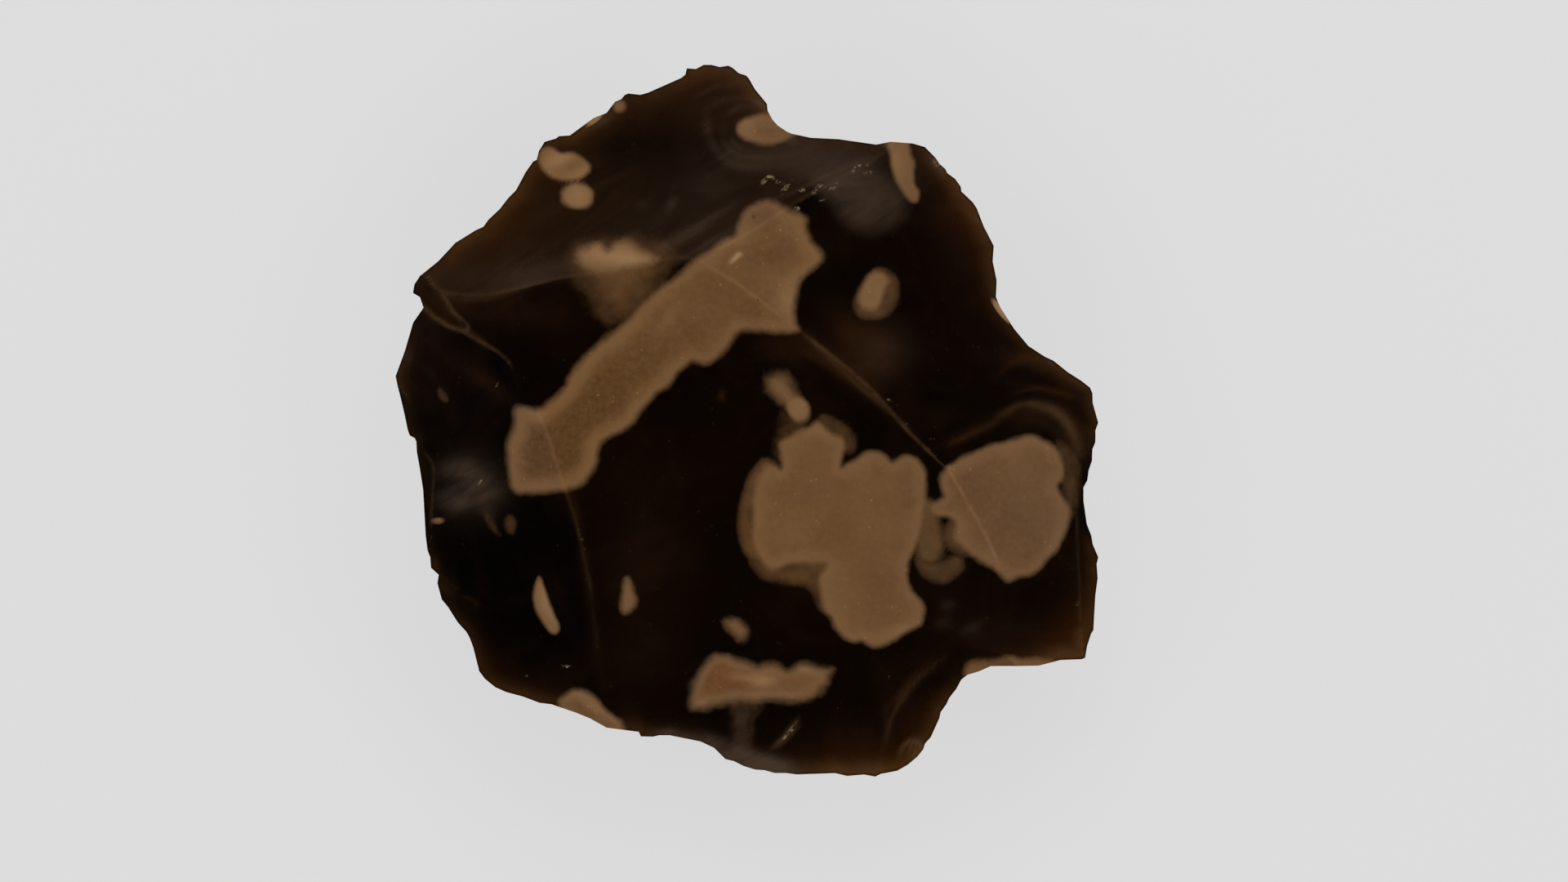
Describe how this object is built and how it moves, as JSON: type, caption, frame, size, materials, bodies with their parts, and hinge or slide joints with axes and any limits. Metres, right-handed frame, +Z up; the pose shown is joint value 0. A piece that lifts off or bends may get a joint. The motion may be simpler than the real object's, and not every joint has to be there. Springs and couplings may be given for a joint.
{
  "type": "levallois core",
  "caption": "Prepared flint core: a low dome of broad flake scars on top, steep platform scars round the edge and a flat cortex patch to lie on.",
  "frame": {"origin": "middle of the bounding box in X and Y, on the surface that the stone lies on", "axes": "+Z up through the thickness, flaking face up; +X right and +Y away as the flaking face is seen in the picture"},
  "size_m": [0.1, 0.1012, 0.0352],
  "materials": {
    "flint": "dark brown-black flint with a faint gloss, beige and grey inclusions, amber thin edges and a chalky cortex patch underneath"
  },
  "bodies": {
    "root": {"levallois_core": "flint"}
  },
  "joints": []
}
